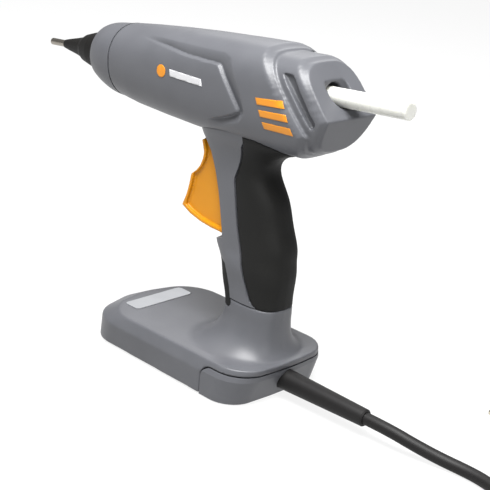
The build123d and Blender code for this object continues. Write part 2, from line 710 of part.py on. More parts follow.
def foot_shells(handle_left):
    """The foot's top cover with its neck, and the removable rear cover."""
    outside = foot_form(0.0, FOOT_WALL_Z, FOOT_TOP_Z)
    inside = foot_form(FOOT_WALL, FOOT_WALL_Z, FOOT_TOP_Z - FOOT_WALL)
    neck_room = slab((-FAR, -FAR, 0), (FAR, FAR, HANDLE_SEAM_Z - SEAM_GAP / 2))
    neck = handle_left & neck_room
    neck = neck + mirror(neck, Plane.XZ)
    hollow = handle_form(GRIP_THICKNESS + HANDLE_WALL) + slab(NECK_OPENING_LOW, NECK_OPENING_HIGH)
    shell = outside + neck - inside - hollow
    for post in foot_posts(BOSS_RADIUS, FOOT_WALL_Z + BASE_THICKNESS, FOOT_TOP_Z - 2):
        shell = shell + (post & (outside + neck))
    for screw in foot_screws():
        shell = shell - screw
    wall = outside - inside
    rear = wall & rear_cover_zone(-SEAM_GAP / 2)
    shell = shell - (wall & rear_cover_zone(SEAM_GAP / 2))
    gland = rod((60, 0, CORD_Z), (90, 0, CORD_Z), RELIEF_RADIUS + 0.2)
    return shell, rear - gland


def rating_plate():
    """Blank metal label let into the foot's top."""
    outline = Pos(RATING_X, 0) * RectangleRounded(13, 52, 3)
    return extrude(Plane.XY.offset(FOOT_TOP_Z - 0.5) * outline, 0.7)


# ---------------------------------------------------------------- wiring
def inner_cable():
    """The held end of the cord, from the strain relief's end to inside the foot."""
    return rod((CABLE_INNER_X, 0, CORD_Z), (CORD_EXIT_X, 0, CORD_Z), CORD_DIAMETER / 2)


def strain_relief():
    """Tapered sleeve on the cord, with a flange behind the rear cover's wall."""
    half = CORD_DIAMETER / 2
    profile = [
        (FLANGE_X - 3, half), (FLANGE_X - 3, 8.6), (FLANGE_X, 8.6), (FLANGE_X, RELIEF_RADIUS),
        (RELIEF_ROOT_X + 6, RELIEF_RADIUS), (CORD_EXIT_X - 1, RELIEF_END_RADIUS),
        (CORD_EXIT_X, RELIEF_END_RADIUS - 0.8), (CORD_EXIT_X, half),
    ]
    face = Face(Wire.make_polygon([(x, 0, r) for x, r in profile]))
    return Pos(0, 0, CORD_Z) * revolve(face, Axis.X)


def terminal_block():
    """Two-way terminal block on the bottom plate."""
    block = slab((14, -11, FOOT_WALL_Z + BASE_THICKNESS), (30, 11, 15))
    for side in (-1, 1):
        block = block - rod((22, side * 5, 9), (22, side * 5, 20), 2.2)
    return block


def lead(points, radius=1.0):
    """An insulated wire: straight runs joined by round bends."""
    path = FilletPolyline(*points, radius=5.0)
    start = Plane(origin=path @ 0, z_dir=path % 0)
    return sweep(start * Circle(radius), path=path)


def heater_leads(element):
    """The two wires from the terminal block up the handle, each ending on the heating element."""
    wires = []
    for side, offset in ((-1, 0.0), (1, 2.6)):
        wires.append(lead([
            (22, side * 5, 11), (22, side * 5, 21), (40, 3 + offset, 33), (45, 3 + offset, 60),
            (45, 3 + offset, 104), (32.5, 3 + offset, 134), (31, 4 + offset, 152),
            barrel_point(-42, 8 + offset, -29), barrel_point(-58, 17.5, -19 + offset),
            barrel_point(-112, 17.5, -18 + offset),
            barrel_point(HEATER_REAR - 4 - 2 * offset, 8.7, -16),
        ]))
    return [(wire - element).solids().sort_by(SortBy.VOLUME)[-1] for wire in wires]


# ---------------------------------------------------------------- free cord
CORD_ROUTE = [
    (138.5, 0.0, 12.4), (156.0, 0.0, 12.4), (174.0, 3.6, 8.6), (190.0, 8.2, 5.2),
    (204.0, 10.9, 4.0), (218.0, 10.4, 4.0), (231.0, 6.9, 4.0), (243.0, 1.6, 4.0),
    (255.5, -4.7, 4.0),
]


def corner_radii(points):
    """Each corner's arc, as large as its two runs allow."""
    radii = []
    for a, b, c in zip(points, points[1:], points[2:]):
        first, second = Vector(*b) - Vector(*a), Vector(*c) - Vector(*b)
        turn = radians(first.get_angle(second))
        radii.append(0.45 * min(first.length, second.length) / tan(turn / 2))
    return radii


def cord_tube(points):
    """A length of free cord along straight runs and tangent arcs."""
    radii = corner_radii(points)
    path = FilletPolyline(*points, radius=radii)
    start = Plane(origin=path @ 0, z_dir=path % 0)
    tube = sweep(start * Circle(CORD_DIAMETER / 2), path=path)
    print("cord bends, radius in mm:", [round(r) for r in radii])
    full = path.length * pi * CORD_DIAMETER ** 2 / 4
    print("cord volume over section times length:", round(tube.volume / full, 4))
    print("cord length, mm:", round(path.length, 1))
    return tube


def cord_coil():
    """The outer form of the coiled length: a flat ring with round edges."""
    half = CORD_DIAMETER * COIL_TURNS_WIDE / 2
    height = CORD_DIAMETER * COIL_LAYERS
    section = Pos(COIL_MEAN_RADIUS, height / 2) * RectangleRounded(2 * half, height, CORD_DIAMETER / 2 - 0.1)
    ring = revolve(Plane.XZ * section, Axis.Z)
    return Pos(*COIL_CENTRE, 0) * ring


def coil_tie():
    """Strap round the coil."""
    half = CORD_DIAMETER * COIL_TURNS_WIDE / 2
    height = CORD_DIAMETER * COIL_LAYERS
    outer = slab((COIL_MEAN_RADIUS - half - 1.2, -5, 0),
                 (COIL_MEAN_RADIUS + half + 1.2, 5, height + 1.2))
    strap = Pos(*COIL_CENTRE, 0) * (Rot(0, 0, 20) * outer)
    return strap - cord_coil()


def plug():
    """Flat two-pin mains plug with its own strain relief, lying beside the coil."""
    x, y = PLUG_BACK
    z = PLUG_THICK / 2
    body = Pos(x - PLUG_LENGTH / 2, y, z) * Box(PLUG_LENGTH, PLUG_WIDTH, PLUG_THICK)
    body = fillet(body.edges().filter_by(Axis.Z), 7.0)
    body = fillet(body.faces().sort_by(Axis.Z)[-1].edges(), 3.0)
    neck = Solid.make_cone(7.0, 5.2, PLUG_NECK, Plane(origin=(x - 1, y, z), z_dir=(1, 0, 0)))
    return body + neck


def plug_pins():
    """The plug's two round pins."""
    x, y = PLUG_BACK
    face = x - PLUG_LENGTH
    return [
        rod((face, y + side * PLUG_PIN_SPACING / 2, PLUG_THICK / 2),
            (face - PLUG_PIN_LENGTH, y + side * PLUG_PIN_SPACING / 2, PLUG_THICK / 2), PLUG_PIN_RADIUS)
        for side in (-1, 1)
    ]


TAIL_ROUTE = [
    (282.0, 90.0, 12.0), (268.0, 90.3, 11.3), (255.0, 91.1, 9.8), (245.0, 91.5, 9.0),
]


def cord_tail():
    """The short length of cord from the coil to the plug."""
    return cord_tube(TAIL_ROUTE)


# ---------------------------------------------------------------- assembly
def add(name, *shapes):
    """Keep a node's solids, whether they come as solids, compounds or lists."""
    solids = []
    for shape in shapes:
        for item in shape if isinstance(shape, (list, tuple)) else [shape]:
            solids += item.solids()
    NODES[name] = solids[0] if len(solids) == 1 else Compound(solids)


def build_barrel():
    """The barrel's shells and everything in them, placed in the row's frame."""
    shell, outside = barrel_shell()
    screws = side_screws(BARREL_SCREWS, BARREL_SCREW_HEAD_Y, BARREL_SCREW_TIP_Y)
    right = mirror(shell, Plane.XZ)
    for x, z in BARREL_SCREWS:
        hole = screw_hole(x, z, BARREL_SCREW_HEAD_Y, BARREL_SCREW_TIP_Y)
        shell, right = shell - hole, right - hole
    can, strap = thermal_cutout()
    placed = {
        "barrel_shell_left": shell, "barrel_shell_right": right, "barrel_screws": screws,
        "front_ring": front_ring(), "nozzle": nozzle(), "nozzle_sleeve": nozzle_sleeve(),
        "heating_chamber": heating_chamber(), "heater": heater(), "thermal_cutout": can,
        "cutout_strap": strap, "chamber_supports": chamber_supports(),
        "inlet_sleeve": inlet_sleeve(), "sleeve_clip": sleeve_clip(),
        "front_guide_plate": guide_plate(GUIDE_FRONT),
        "rear_guide_plate": guide_plate(GUIDE_REAR), "guide_rods": guide_rods(),
        "feed_carriage": feed_carriage(), "gripping_jaw": gripping_jaw(), "jaw_pin": jaw_pin(0.0),
        "return_springs": return_springs(), "glue_stick": glue_stick(), "trigger_pin": pivot_pin(0.0),
    }
    for name, shape in placed.items():
        shapes = shape if isinstance(shape, list) else [shape]
        add(name, [BARREL * item for item in shapes])
    return BARREL * outside


def build_handle_and_foot(barrel_outside):
    """The handle, the foot and the parts in them."""
    form, core, grip, insert = handle_parts(barrel_outside)
    core = core & slab((-FAR, -FAR, HANDLE_SEAM_Z + SEAM_GAP / 2), (FAR, 0, FAR))
    core = core - trigger_mouth()
    right = mirror(core, Plane.XZ)
    for x, z in HANDLE_SCREWS:
        hole = screw_hole(x, z, HANDLE_SCREW_HEAD_Y, HANDLE_SCREW_TIP_Y)
        core, right = core - hole, right - hole
    add("handle_shell_left", core)
    add("handle_shell_right", right)
    add("handle_screws", side_screws(HANDLE_SCREWS, HANDLE_SCREW_HEAD_Y, HANDLE_SCREW_TIP_Y))
    add("soft_grip", grip + mirror(grip, Plane.XZ))
    add("front_insert", insert + mirror(insert, Plane.XZ))
    cover, rear = foot_shells(form - grip - insert)
    plate = rating_plate()
    add("foot_cover", cover - plate)
    add("foot_rear_cover", rear)
    add("rating_plate", plate)
    add("foot_base", foot_base())
    add("foot_sole", sole())
    add("foot_screws", foot_screws())
    add("cord_clamp", cord_clamp())
    add("clamp_screws", clamp_screws())
    add("terminal_block", terminal_block())
    add("heater_leads", heater_leads(NODES["heater"]))
    add("trigger", trigger())


def build_cord():
    """The mains cord, from the strain relief to the plug."""
    add("inner_cable", inner_cable())
    add("strain_relief", strain_relief())
    add("cord", cord_tube(CORD_ROUTE))
    add("cord_coil", cord_coil())
    add("coil_tie", coil_tie())
    add("cord_tail", cord_tail())
    add("plug", plug())
    add("plug_pins", plug_pins())


def main():
    """Build every node and write it to its own file."""
    os.makedirs("parts", exist_ok=True)
    build_handle_and_foot(build_barrel())
    build_cord()
    for name, shape in NODES.items():
        export_step(shape, f"parts/{name}.step")
    print(len(NODES), "nodes written")


main()
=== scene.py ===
"""A hot glue gun on its foot: shells, print, cord, finishes, studio and camera.

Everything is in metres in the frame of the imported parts. The barrel has a frame of its own: s runs
rearwards along the glue stick, y is sideways and h is the height above the stick's axis.
"""

import logging
import math
from dataclasses import dataclass, field
from enum import Enum

import bmesh
import bpy
import numpy as np
from mathutils import Matrix, Vector
from mathutils.bvhtree import BVHTree


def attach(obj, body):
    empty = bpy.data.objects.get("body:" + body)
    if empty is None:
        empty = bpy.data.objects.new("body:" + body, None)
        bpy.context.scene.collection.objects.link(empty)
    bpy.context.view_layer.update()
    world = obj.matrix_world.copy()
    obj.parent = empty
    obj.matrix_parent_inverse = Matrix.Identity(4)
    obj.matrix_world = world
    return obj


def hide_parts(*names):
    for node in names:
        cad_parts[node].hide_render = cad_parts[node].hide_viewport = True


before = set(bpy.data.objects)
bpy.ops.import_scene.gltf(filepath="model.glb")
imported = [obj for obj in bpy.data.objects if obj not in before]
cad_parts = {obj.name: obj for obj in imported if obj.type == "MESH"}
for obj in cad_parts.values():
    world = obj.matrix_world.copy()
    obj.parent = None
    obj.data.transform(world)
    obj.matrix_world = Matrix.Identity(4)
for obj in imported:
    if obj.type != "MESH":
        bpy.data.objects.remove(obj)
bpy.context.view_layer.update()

logging.basicConfig(level=logging.INFO, format="%(message)s")
log = logging.getLogger("glue_gun")

MM = 0.001
BARREL_PITCH = math.radians(5.31)
BARREL_ORIGIN = Vector((71.5 * MM, 0.0, 199.4 * MM))
BARREL_FRAME = Matrix.Translation(BARREL_ORIGIN) @ Matrix.Rotation(-BARREL_PITCH, 4, "Y")

# How far every finish mottles: noise cells per metre, the ramp's ends and the roughness either way.
MOTTLE_SCALE = 45.0
MOTTLE_RAMP = (0.32, 0.68)
ROUGHNESS_SPREAD = 0.06
BUMP_STRENGTH = 0.6
BRUSH_STRETCH = (0.05, 1.0, 1.0)
EVEN_STRETCH = (1.0, 1.0, 1.0)


# ---------------------------------------------------------------- finishes
class Grain(Enum):
    """How a surface's fine relief runs."""

    SPARK = "even spark-eroded stipple"
    BRUSHED = "long scratches along X"
    CAST = "coarse orange peel of a casting"
    SMOOTH = "faint waviness of a polished mould"


def linear(hex_colour: str) -> tuple[float, float, float, float]:
    """An sRGB hex colour as linear RGBA.

    Args:
        hex_colour: Six hex digits, with or without a leading hash.

    Returns:
        Four linear values, alpha 1.
    """
    digits = hex_colour.lstrip("#")
    values = [int(digits[i:i + 2], 16) / 255 for i in (0, 2, 4)]
    channels = [v / 12.92 if v <= 0.04045 else ((v + 0.055) / 1.055) ** 2.4 for v in values]
    return (channels[0], channels[1], channels[2], 1.0)


def add_node(
    tree: bpy.types.NodeTree, kind: str, settings: dict | None = None, links: dict | None = None
) -> bpy.types.Node:
    """Add a node with its settings and its incoming links.

    Args:
        tree: The material's node tree.
        kind: The node's type name, such as ShaderNodeBump.
        settings: Property names or input names with their values.
        links: Input names with the output sockets that feed them.

    Returns:
        The new node.
    """
    node = tree.nodes.new(kind)
    for name, value in (settings or {}).items():
        if name in node.inputs:
            node.inputs[name].default_value = value
        else:
            setattr(node, name, value)
    for name, socket in (links or {}).items():
        tree.links.new(socket, node.inputs[name])
    return node


@dataclass(frozen=True)
class Finish:
    """One material: what it is, its colours and its relief.

    Attributes:
        name: Material name.
        colour: Main colour, sRGB hex.
        shade: Second colour of the slow mottling, sRGB hex.
        roughness: Middle of the roughness range.
        grain: How the relief runs.
        grain_mm: Size of one grain.
        relief_mm: Height of the relief.
        metallic: 1 for bare metal.
        ior: Index of refraction of a non-metal.
        coat: Weight of a clear top layer.
        translucency: Subsurface weight.
        glow_mm: Subsurface reach.
        sheen: Weight of the dusty sheen of rubber.
        specular: Strength of the surface reflection, 0.5 for a clean polished surface.
    """

    name: str
    colour: str
    shade: str
    roughness: float
    grain: Grain = Grain.SPARK
    grain_mm: float = 0.5
    relief_mm: float = 0.02
    metallic: float = 0.0
    ior: float = 1.5
    coat: float = 0.0
    translucency: float = 0.0
    glow_mm: float = 0.0
    sheen: float = 0.0
    specular: float = 0.5

    def build(self) -> bpy.types.Material:
        """Make the Blender material.

        Returns:
            The material, with colour mottling, roughness variation and relief.
        """
        material = bpy.data.materials.new(self.name)
        material.use_nodes = True
        tree = material.node_tree
        shader = tree.nodes["Principled BSDF"]
        place = add_node(tree, "ShaderNodeTexCoord").outputs["Object"]
        per_metre = 1.0 / (self.grain_mm * MM)
        stretch = BRUSH_STRETCH if self.grain is Grain.BRUSHED else EVEN_STRETCH
        turned = add_node(tree, "ShaderNodeMapping", {"Scale": stretch}, {"Vector": place})
        slow = add_node(
            tree, "ShaderNodeTexNoise", {"Scale": MOTTLE_SCALE, "Detail": 3.0}, {"Vector": place}
        )
        fine = add_node(
            tree, "ShaderNodeTexNoise",
            {"Scale": per_metre, "Detail": 2.0, "Roughness": 0.6}, {"Vector": turned.outputs[0]},
        )
        ramp = add_node(tree, "ShaderNodeValToRGB", links={"Fac": slow.outputs["Fac"]})
        for stop, place_on_ramp, colour in zip(
            ramp.color_ramp.elements, MOTTLE_RAMP, (self.shade, self.colour)
        ):
            stop.position = place_on_ramp
            stop.color = linear(colour)
        spread = add_node(
            tree, "ShaderNodeMapRange",
            {
                "To Min": max(0.03, self.roughness - ROUGHNESS_SPREAD),
                "To Max": min(1.0, self.roughness + ROUGHNESS_SPREAD),
            },
            {"Value": fine.outputs["Fac"]},
        )
        bump = add_node(
            tree, "ShaderNodeBump",
            {"Strength": BUMP_STRENGTH, "Distance": self.relief_mm * MM},
            {"Height": fine.outputs["Fac"]},
        )
        tree.links.new(ramp.outputs["Color"], shader.inputs["Base Color"])
        tree.links.new(spread.outputs["Result"], shader.inputs["Roughness"])
        tree.links.new(bump.outputs["Normal"], shader.inputs["Normal"])
        shader.inputs["Metallic"].default_value = self.metallic
        if not self.metallic:
            shader.inputs["IOR"].default_value = self.ior
        shader.inputs["Coat Weight"].default_value = self.coat
        shader.inputs["Sheen Weight"].default_value = self.sheen
        shader.inputs["Specular IOR Level"].default_value = self.specular
        shader.inputs["Subsurface Weight"].default_value = self.translucency
        if self.translucency:
            shader.inputs["Subsurface Radius"].default_value = (1.0, 1.0, 0.9)
            shader.inputs["Subsurface Scale"].default_value = self.glow_mm * MM
        return material


# Glass-filled nylon housing, moulded in a spark-eroded tool: an even satin grey with a fine stipple.
HOUSING = Finish(
    "nylon_housing_grey", "#525357", "#4e4f53", 0.42, grain_mm=0.45, relief_mm=0.03, specular=0.4
)
# The same nylon in charcoal, for the plates that are seldom seen.
CHARCOAL = Finish("nylon_charcoal", "#38393b", "#333436", 0.5, grain_mm=0.5, relief_mm=0.03)
# Thermoplastic elastomer overmoulded on the handle: near black, matt, with a soft sheen.
GRIP = Finish("tpe_grip_black", "#141413", "#111110", 0.62, grain_mm=0.8, relief_mm=0.06, specular=0.2)
# ABS trigger from a polished mould: warm yellow orange with a mild gloss.
TRIGGER = Finish(
    "abs_trigger_orange", "#bf7e0a", "#b87807", 0.36, Grain.SMOOTH, 3.0, 0.02, translucency=0.08,
    glow_mm=1.5, specular=0.3,
)
# Pad-printed ink on the housing: a thin satin layer that shows the stipple beneath.
INK_ORANGE = Finish("pad_print_orange", "#c47c0e", "#be760b", 0.45, grain_mm=0.45, relief_mm=0.02)
INK_PALE = Finish("pad_print_pale", "#b9b9bb", "#b2b2b4", 0.45, grain_mm=0.45, relief_mm=0.02)
# Heat-proof silicone, dipped and cured: matt warm black that gathers a little dust.
SILICONE = Finish("silicone_black", "#121110", "#0f0e0d", 0.58, grain_mm=0.7, relief_mm=0.05, specular=0.2)
# Turned free-cutting steel, heat-tinted to a warm grey.
NOZZLE = Finish("turned_steel_nozzle", "#a9a49c", "#938d84", 0.3, Grain.BRUSHED, 0.25, 0.01, 1.0)
# Die-cast aluminium with the orange peel of the mould.
CAST = Finish("cast_aluminium", "#b4b5b7", "#a6a7a9", 0.45, Grain.CAST, 1.4, 0.08, 1.0)
# Kapton-wrapped foil heater: amber and glossy.
FOIL = Finish("heater_foil_amber", "#c08a3c", "#a97830", 0.25, Grain.SMOOTH, 2.0, 0.03, coat=0.4)
# Zinc-plated wire and screws, barrel plated to a bluish bright grey.
ZINC = Finish("zinc_plated_steel", "#bfc2c6", "#aeb1b5", 0.32, Grain.BRUSHED, 0.3, 0.01, 1.0)
# Ground and hardened tool steel, darker than plated steel.
TOOL_STEEL = Finish("hardened_steel", "#8b8c8e", "#77787a", 0.35, Grain.BRUSHED, 0.3, 0.02, 1.0)
# Pressed mica board: pale, layered and slightly silvery.
MICA = Finish("pressed_mica", "#c9c2ac", "#b8b098", 0.5, Grain.CAST, 1.8, 0.06, coat=0.2)
# Hot-melt adhesive extruded as a stick: milky, waxy, lets light through.
GLUE = Finish(
    "hot_melt_glue_milky", "#c9c9c4", "#c3c3be", 0.28, Grain.SMOOTH, 5.0, 0.05, ior=1.49,
    translucency=0.6, glow_mm=6.0,
)
# Pressed rubber sole: matt black.
SOLE = Finish("rubber_sole_black", "#1b1b1b", "#171717", 0.75, grain_mm=0.9, relief_mm=0.08)
# Brushed aluminium label with a clear lacquer.
LABEL = Finish("brushed_label", "#a4a6aa", "#9a9ca0", 0.32, Grain.BRUSHED, 0.3, 0.01, 0.85, coat=0.3)
# Polyamide terminal block: ivory and slightly waxy.
IVORY = Finish("polyamide_ivory", "#dcd8ca", "#d2cdbd", 0.45, Grain.SMOOTH, 2.0, 0.03)
# Silicone-insulated lead wire: off-white and smooth.
LEAD = Finish("silicone_lead_white", "#d9d8d3", "#cfcec8", 0.5, Grain.SMOOTH, 1.5, 0.03)
# Neoprene mains sheath, extruded: warm black with fine draw marks.
SHEATH = Finish(
    "neoprene_cord_black", "#161515", "#121111", 0.55, grain_mm=0.6, relief_mm=0.04, specular=0.25
)
# Nickel-plated brass pins, tumbled to a soft shine.
PIN = Finish("nickel_plated_pins", "#cfc9b8", "#c2bba8", 0.22, Grain.BRUSHED, 0.3, 0.01, 1.0)

DRESSING: dict[Finish, tuple[str, ...]] = {
    HOUSING: (
        "barrel_shell_left", "barrel_shell_right", "front_ring", "handle_shell_left",
        "handle_shell_right", "foot_cover", "foot_rear_cover",
    ),
    CHARCOAL: (
        "foot_base", "cord_clamp", "front_guide_plate", "rear_guide_plate", "feed_carriage",
    ),
    GRIP: ("soft_grip", "front_insert"),
    TRIGGER: ("trigger",),
    SILICONE: ("nozzle_sleeve", "inlet_sleeve"),
    NOZZLE: ("nozzle",),
    CAST: ("heating_chamber",),
    FOIL: ("heater",),
    ZINC: (
        "thermal_cutout", "cutout_strap", "sleeve_clip", "guide_rods", "return_springs",
        "trigger_pin", "jaw_pin", "barrel_screws", "handle_screws", "foot_screws", "clamp_screws",
    ),
    TOOL_STEEL: ("gripping_jaw",),
    MICA: ("chamber_supports",),
    GLUE: ("glue_stick",),
    SOLE: ("foot_sole",),
    LABEL: ("rating_plate",),
    IVORY: ("terminal_block",),
    LEAD: ("heater_leads",),
    SHEATH: (
        "strain_relief", "inner_cable", "cord", "cord_coil", "cord_tail", "coil_tie", "plug",
    ),
    PIN: ("plug_pins",),
}


def dress_nodes() -> dict[str, bpy.types.Material]:
    """Give every carried node its finish.

    Returns:
        The materials by finish name.
    """
    made = {}
    for finish, names in DRESSING.items():
        made[finish.name] = finish.build()
        for name in names:
            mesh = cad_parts[name].data
            mesh.materials.clear()
            mesh.materials.append(made[finish.name])
    made[INK_ORANGE.name] = INK_ORANGE.build()
    made[INK_PALE.name] = INK_PALE.build()
    return made


# ---------------------------------------------------------------- mesh helpers
def piece_from(bm: bmesh.types.BMesh, name: str, material: bpy.types.Material) -> bpy.types.Object:
    """Turn a bmesh into a smooth-shaded object at the origin.

    Args:
        bm: The mesh, which is freed.
        name: The object's name.
        material: Its finish.

    Returns:
        The linked object.
    """
    mesh = bpy.data.meshes.new(name)
    bm.to_mesh(mesh)
    bm.free()
    mesh.materials.append(material)
    piece = bpy.data.objects.new(name, mesh)
    bpy.context.scene.collection.objects.link(piece)
    mesh.shade_smooth()
    return piece


def apply_modifier(piece: bpy.types.Object, kind: str, **settings: object) -> None:
    """Add a modifier and apply it at once.

    Args:
        piece: The object.
        kind: The modifier's type, such as BOOLEAN.
        settings: Its properties.
    """
    modifier = piece.modifiers.new(kind.lower(), kind)
    for name, value in settings.items():
        setattr(modifier, name, value)
    bpy.context.view_layer.objects.active = piece
    with bpy.context.temp_override(object=piece, active_object=piece):
        bpy.ops.object.modifier_apply(modifier=modifier.name)


def relax(bm: bmesh.types.BMesh, verts: list[bmesh.types.BMVert], passes: int) -> None:
    """Even out the small steps that a voxel remesh leaves.

    Args:
        bm: The mesh.
        verts: The vertices to move.
        passes: How many times each moves half way to its neighbours.
    """
    for _ in range(passes):
        bmesh.ops.smooth_vert(
            bm, verts=verts, factor=0.5, use_axis_x=True, use_axis_y=True, use_axis_z=True
        )


def smooth_step(share: float | np.ndarray) -> float | np.ndarray:
    """A share from 0 to 1, eased at both ends."""
    return share * share * (3 - 2 * share)


def power(value: float, exponent: float) -> float:
    """A signed power, for superellipses."""
    return math.copysign(abs(value) ** exponent, value)


def distance_to_line(points: np.ndarray, line: list[tuple[float, float]]) -> np.ndarray:
    """Distance from points to an open line.

    Args:
        points: An array of (s, h) pairs.
        line: The line's corners.

    Returns:
        One distance for each point.
    """
    best = np.full(len(points), 1e9)
    for a, b in zip(line, line[1:]):
        start, run = np.array(a), np.array(b) - np.array(a)
        share = np.clip(((points - start) @ run) / (run @ run), 0, 1)
        gap = points - start - share[:, None] * run
        best = np.minimum(best, np.hypot(gap[:, 0], gap[:, 1]))
    return best


def inside_outline(points: np.ndarray, outline: list[tuple[float, float]]) -> np.ndarray:
    """Which points lie inside a closed outline.

    Args:
        points: An array of (s, h) pairs.
        outline: The outline's corners.

    Returns:
        One truth value for each point.
    """
    inside = np.zeros(len(points), bool)
    for (ax, ay), (bx, by) in zip(outline, outline[1:] + outline[:1]):
        if ay == by:
            continue
        crosses = (ay > points[:, 1]) != (by > points[:, 1])
        where = ax + (points[:, 1] - ay) / (by - ay) * (bx - ax)
        inside ^= crosses & (points[:, 0] < where)
    return inside


def eased(values: np.ndarray, low: float, high: float) -> np.ndarray:
    """A smooth step from 0 at low to 1 at high."""
    return smooth_step(np.clip((values - low) / (high - low), 0, 1))


# ---------------------------------------------------------------- barrel
@dataclass
class BarrelHousing:
    """The two barrel shells as one moulded form, with its cheeks, snout and stick cradle.

    Lengths are in millimetres in the barrel's frame.
    """

    sections: list[tuple[float, float, float, float, float]] = field(default_factory=lambda: [
        (-162, 22.8, 26.2, 24.3, 2.1), (-145, 24.0, 29.2, 26.0, 2.2), (-118, 25.3, 32.0, 27.6, 2.4),
        (-90, 26.1, 34.5, 28.6, 2.6), (-50, 26.5, 37.0, 29.3, 2.8), (-10, 26.5, 39.0, 29.6, 2.9),
        (40, 26.5, 40.0, 29.6, 2.9),
    ])
    body_reach: tuple[float, float] = (-162.0, 38.0)
    snout_reach: tuple[float, float] = (-60.0, 39.0)
    clear_of_all: float = 60.0
    segments: int = 96
    rear_slant: float = 53.0
    rear_station: float = -6.5
    snout_length: float = 18.0
    snout_inset: float = 4.2
    undercut: tuple[float, float] = (26.0, -8.0)
    undercut_lean: float = 28.0
    undercut_step: float = 7.0
    bore: float = 7.6
    bore_height: float = 0.8
    bore_start: float = -30.0
    screws: tuple[tuple[float, float], ...] = (
        (-142.0, 17.0), (-98.0, -24.5), (-22.0, 17.5), (0.0, -27.5),
    )
    screw_seat: float = 16.0
    screw_recess: float = 3.5
    grid_mm: float = 0.7
    smoothing_passes: int = 2
    ring_mm: float = 2.0
    chamfer: float = 3.6
    chamfer_pull: float = 0.75
    slot_depth: float = 3.8
    slot_reach: float = 20.0
    slot_outline: tuple[tuple[float, float], ...] = (
        (-11.1, 13.3), (-3.5, 12.5), (-1, 10.6), (15.8, -13.1), (15.2, -15.5), (12.2, -16.6),
    )
    trough: tuple[float, float, float] = (8.5, 3.8, 10.4)
    cheek_depth: float = 2.8
    cheek_edge: float = 0.8
    front_fade: tuple[float, float] = (-137, -105)
    rear_fade: tuple[float, float] = (-70, -56)
    low_fade: tuple[float, float] = (-24.5, -16.0)
    side_fade: tuple[float, float] = (12, 18)
    cheek: list[tuple[float, float]] = field(default_factory=lambda: [
        (-137, 19.4), (-125.7, 18.2), (-107.4, 16.1), (-89.6, 13.8), (-72.3, 12.8), (-59.6, 12.1),
        (-57.9, 11.1), (-50.8, 1.2), (-41, -13.1), (-40.9, -14.9), (-45.7, -17.1), (-53.9, -20),
        (-62.2, -22), (-70.6, -24.1),
    ])
    band: list[tuple[float, float]] = field(default_factory=lambda: [
        (-137, 20.6), (-118.6, 20.2), (-91.9, 19.8), (-74.5, 19.3), (-56.1, 19), (-50.2, 16.8),
        (-46.6, 10.1), (-37.5, -6.6), (-35.5, -14.5), (-41, -21), (-55, -25.5), (-72, -28.5),
    ])

    def section(self, station: float, inset: float) -> tuple[float, float, float, float]:
        """Sizes of the section at a station, drawn in by an inset."""
        known = [s[0] for s in self.sections]
        return tuple(
            float(np.interp(station, known, [s[k] for s in self.sections])) - (inset if k < 4 else 0)
            for k in range(1, 5)
        )

    def loft(self, start: float, end: float, inset: float, reach: float) -> bmesh.types.BMesh:
        """A capped form through the sections, made by extruding a circle ring by ring.

        Args:
            start: First station.
            end: Last station.
            inset: How far it is drawn in from the barrel's outside.
            reach: How far the form stands out of the rear plane, whose edge is chamfered.

        Returns:
            The closed mesh, in millimetres.
        """
        bm = bmesh.new()
        ring = bmesh.ops.create_circle(bm, cap_ends=True, segments=self.segments, radius=1.0)["verts"]
        angles = [math.atan2(v.co.y, v.co.x) for v in ring]
        steps = round((end - start) / self.ring_mm)
        for step in range(steps + 1):
            station = start + (end - start) * step / steps
            if step:
                edges = [e for e in bm.edges if all(v in set(ring) for v in e.verts)]
                grown = bmesh.ops.extrude_edge_only(bm, edges=edges)["geom"]
                fresh = [g for g in grown if isinstance(g, bmesh.types.BMVert)]
                tree = {tuple(round(c, 4) for c in v.co): v for v in fresh}
                ring = [tree[tuple(round(c, 4) for c in v.co)] for v in ring]
            top, bottom, half, roundness = self.section(station, inset)
            for vert, angle in zip(ring, angles):
                height = top if math.sin(angle) >= 0 else bottom
                vert.co = (
                    station, half * power(math.cos(angle), 2 / roundness),
                    height * power(math.sin(angle), 2 / roundness),
                )
        bmesh.ops.contextual_create(bm, geom=[e for e in bm.edges if e.is_boundary])
        self.ease_rear_edge(bm, reach)
        bmesh.ops.recalc_face_normals(bm, faces=bm.faces[:])
        return bm

    def ease_rear_edge(self, bm: bmesh.types.BMesh, reach: float) -> None:
        """Draw the sides in towards the rear planes, so the cuts leave a chamfer.

        Args:
            bm: The form before it is cut.
            reach: How far the form stands out of the rear plane.
        """
        lean = math.radians(90 - self.rear_slant)
        rear = Vector((math.cos(lean), 0, math.sin(lean)))
        drop = math.radians(self.undercut_lean)
        under = Vector((math.cos(drop), 0, -math.sin(drop)))
        step = 0.0 if reach else -self.undercut_step
        for vert in bm.verts:
            depth = reach - rear.dot(vert.co - Vector((self.rear_station, 0, 0)))
            below = step - under.dot(vert.co - Vector((self.undercut[0], 0, self.undercut[1])))
            short = max(0.0, self.chamfer - max(0.0, min(depth, below)))
            size = max(1.0, math.hypot(vert.co.y, vert.co.z))
            vert.co.y *= 1 - self.chamfer_pull * short / size
            vert.co.z *= 1 - self.chamfer_pull * short / size

